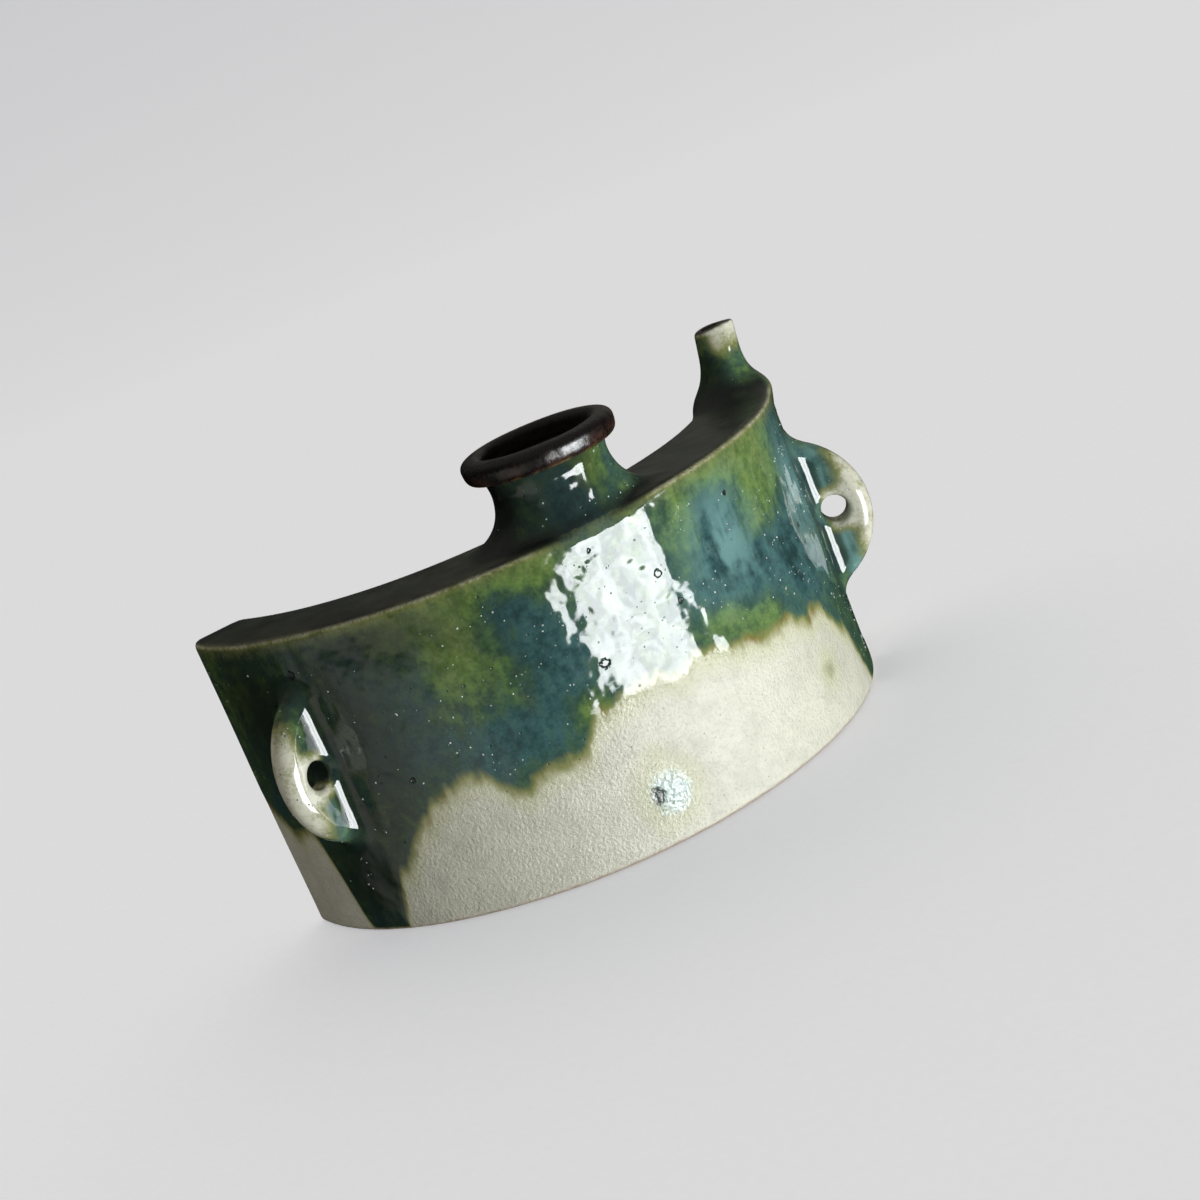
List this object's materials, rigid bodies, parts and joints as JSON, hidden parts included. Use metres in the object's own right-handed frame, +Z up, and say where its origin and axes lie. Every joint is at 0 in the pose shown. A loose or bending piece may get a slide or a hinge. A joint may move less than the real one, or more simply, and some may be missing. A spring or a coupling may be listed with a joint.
{
  "type": "crescent hip flask",
  "caption": "Crescent-shaped stoneware hip flask with a waisted neck, a rolled mouth rim, a small spout near one tip and pierced lugs for a carrying cord, in running green glaze.",
  "frame": {"origin": "on the flat base, under the middle of the neck", "axes": "+Z up through the mouth, +X along the width towards the spout end, -Y out of the convex front, +Y towards the wearer's hip"},
  "size_m": [0.1708, 0.0811, 0.1018],
  "materials": {
    "green_glaze": "glossy running copper-green glaze that breaks to cream where it is thin",
    "iron_glaze": "glossy near-black iron glaze that breaks to red-brown on the edges",
    "bare_clay": "matte, gritty unglazed stoneware"
  },
  "bodies": {
    "root": {"front_wall": "green_glaze", "back_wall": "green_glaze", "top_slab": "green_glaze", "base_slab": "bare_clay", "base_seam_coil": "bare_clay", "left_tip_coil": "bare_clay", "right_tip_coil": "bare_clay", "neck": "green_glaze", "mouth_rim": "iron_glaze", "spout": "green_glaze", "left_lug": "green_glaze", "right_lug": "green_glaze"}
  },
  "joints": []
}
